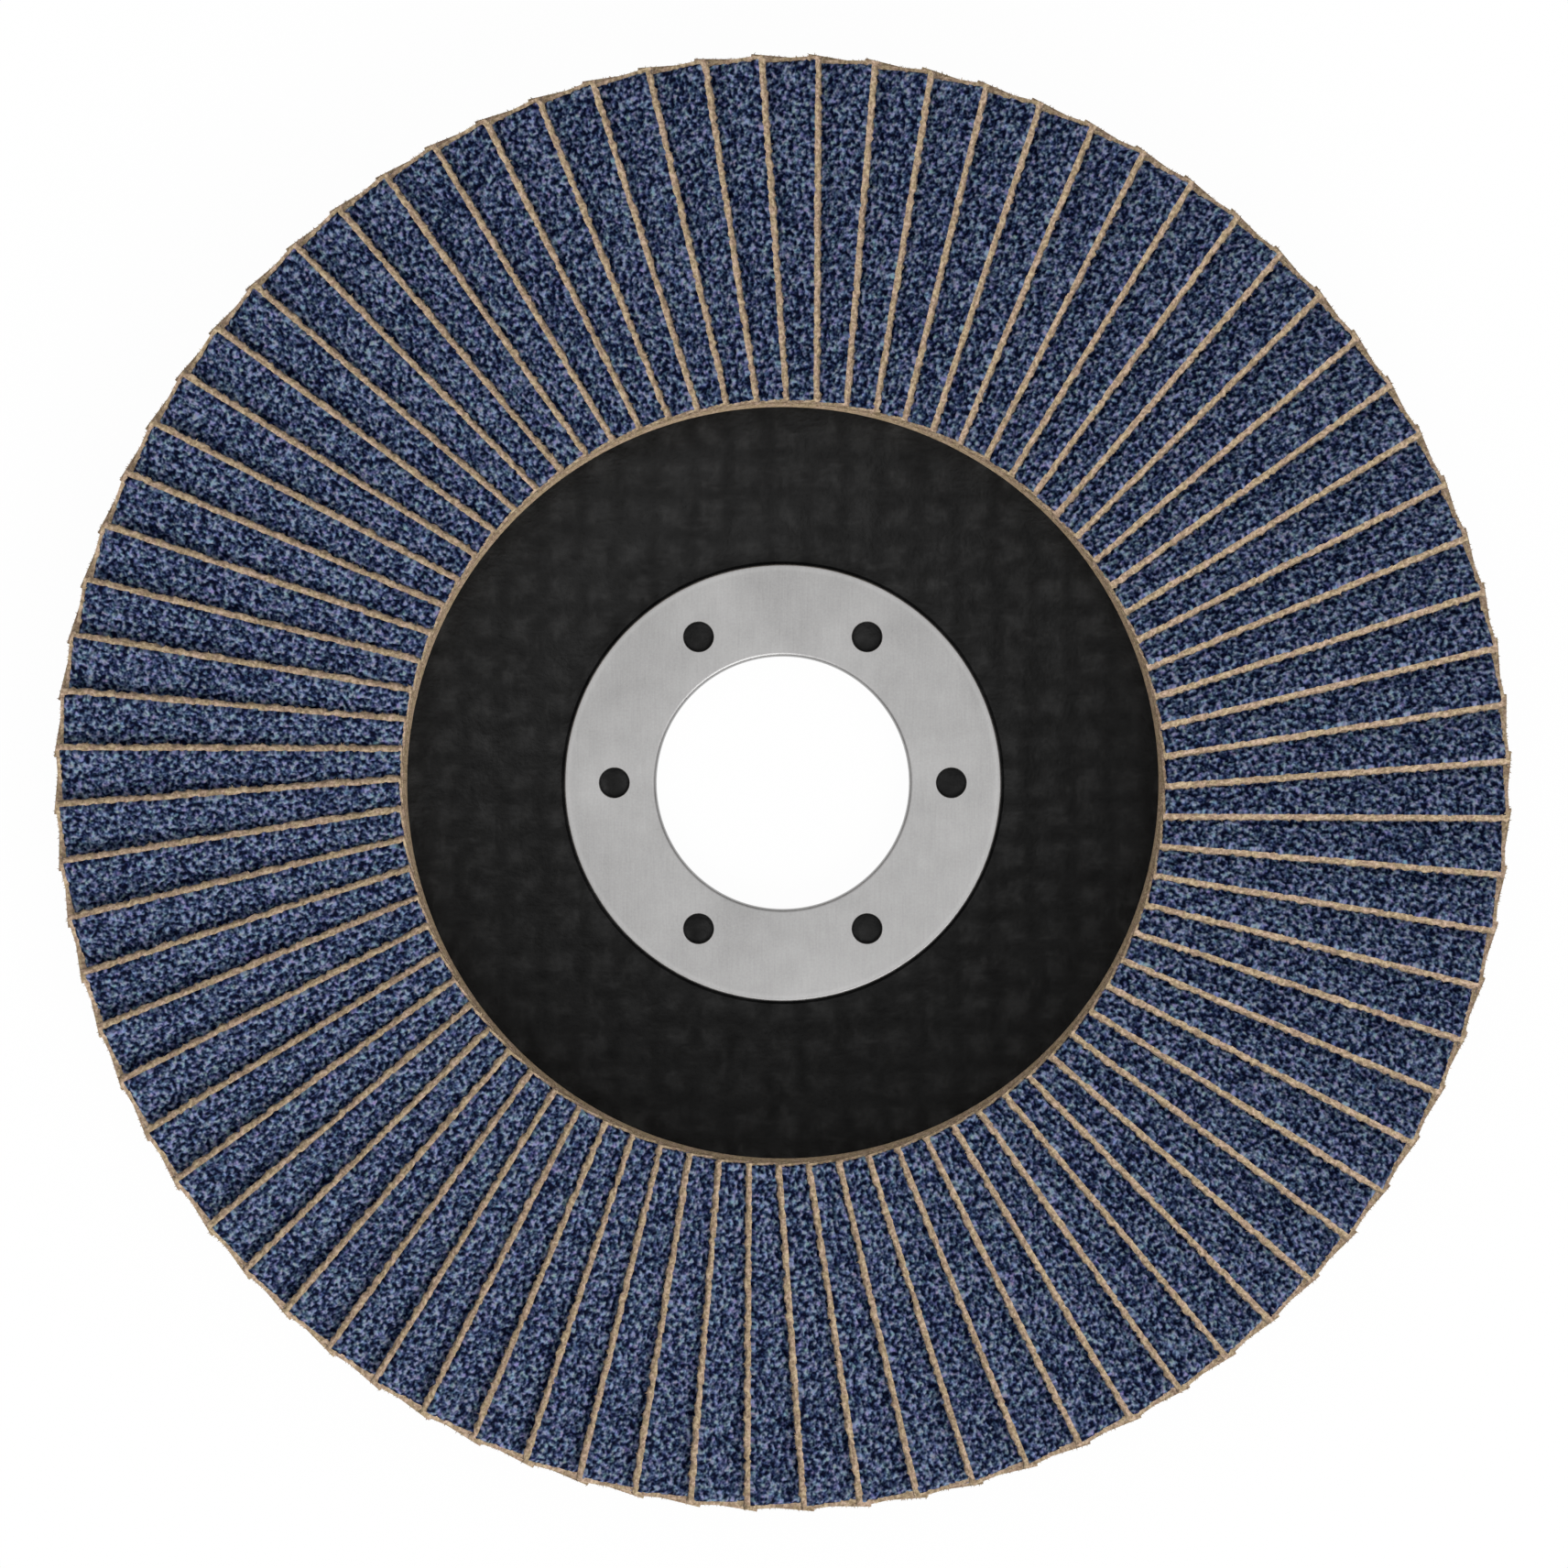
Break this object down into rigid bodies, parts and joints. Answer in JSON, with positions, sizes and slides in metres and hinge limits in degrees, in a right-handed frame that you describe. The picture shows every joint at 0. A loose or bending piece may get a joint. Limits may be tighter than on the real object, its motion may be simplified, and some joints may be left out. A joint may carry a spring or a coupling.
{
  "type": "flap disc",
  "caption": "Dished grinding disc with overlapping abrasive cloth flaps glued like louvres on a glass-fibre backing plate with a steel hub ring and a plain round bore.",
  "frame": {"origin": "on the bore's axis, in the flat back face of the hub, where the machine's flange seats", "axes": "+Z along the bore towards the abrasive face; the first hole of the steel ring lies on +X"},
  "size_m": [0.1256, 0.1256, 0.0162],
  "materials": {
    "steel": "matt pressed sheet",
    "resin_plate": "matt black glass-fibre and resin",
    "adhesive": "cured amber adhesive",
    "abrasive_cloth": "blue abrasive grain on tan cloth"
  },
  "bodies": {
    "root": {"hub_ring": "steel", "backing_plate": "resin_plate", "adhesive_bed": "adhesive", "flap_pair_01": "abrasive_cloth", "flap_pair_02": "abrasive_cloth", "flap_pair_03": "abrasive_cloth", "flap_pair_04": "abrasive_cloth", "flap_pair_05": "abrasive_cloth", "flap_pair_06": "abrasive_cloth", "flap_pair_07": "abrasive_cloth", "flap_pair_08": "abrasive_cloth", "flap_pair_09": "abrasive_cloth", "flap_pair_10": "abrasive_cloth", "flap_pair_11": "abrasive_cloth", "flap_pair_12": "abrasive_cloth", "flap_pair_13": "abrasive_cloth", "flap_pair_14": "abrasive_cloth", "flap_pair_15": "abrasive_cloth", "flap_pair_16": "abrasive_cloth", "flap_pair_17": "abrasive_cloth", "flap_pair_18": "abrasive_cloth", "flap_pair_19": "abrasive_cloth", "flap_pair_20": "abrasive_cloth", "flap_pair_21": "abrasive_cloth", "flap_pair_22": "abrasive_cloth", "flap_pair_23": "abrasive_cloth", "flap_pair_24": "abrasive_cloth", "flap_pair_25": "abrasive_cloth", "flap_pair_26": "abrasive_cloth", "flap_pair_27": "abrasive_cloth", "flap_pair_28": "abrasive_cloth", "flap_pair_29": "abrasive_cloth", "flap_pair_30": "abrasive_cloth", "flap_pair_31": "abrasive_cloth", "flap_pair_32": "abrasive_cloth", "flap_pair_33": "abrasive_cloth", "flap_pair_34": "abrasive_cloth", "flap_pair_35": "abrasive_cloth", "flap_pair_36": "abrasive_cloth", "flap_pair_37": "abrasive_cloth", "flap_pair_38": "abrasive_cloth", "flap_pair_39": "abrasive_cloth", "flap_pair_40": "abrasive_cloth"}
  },
  "joints": []
}
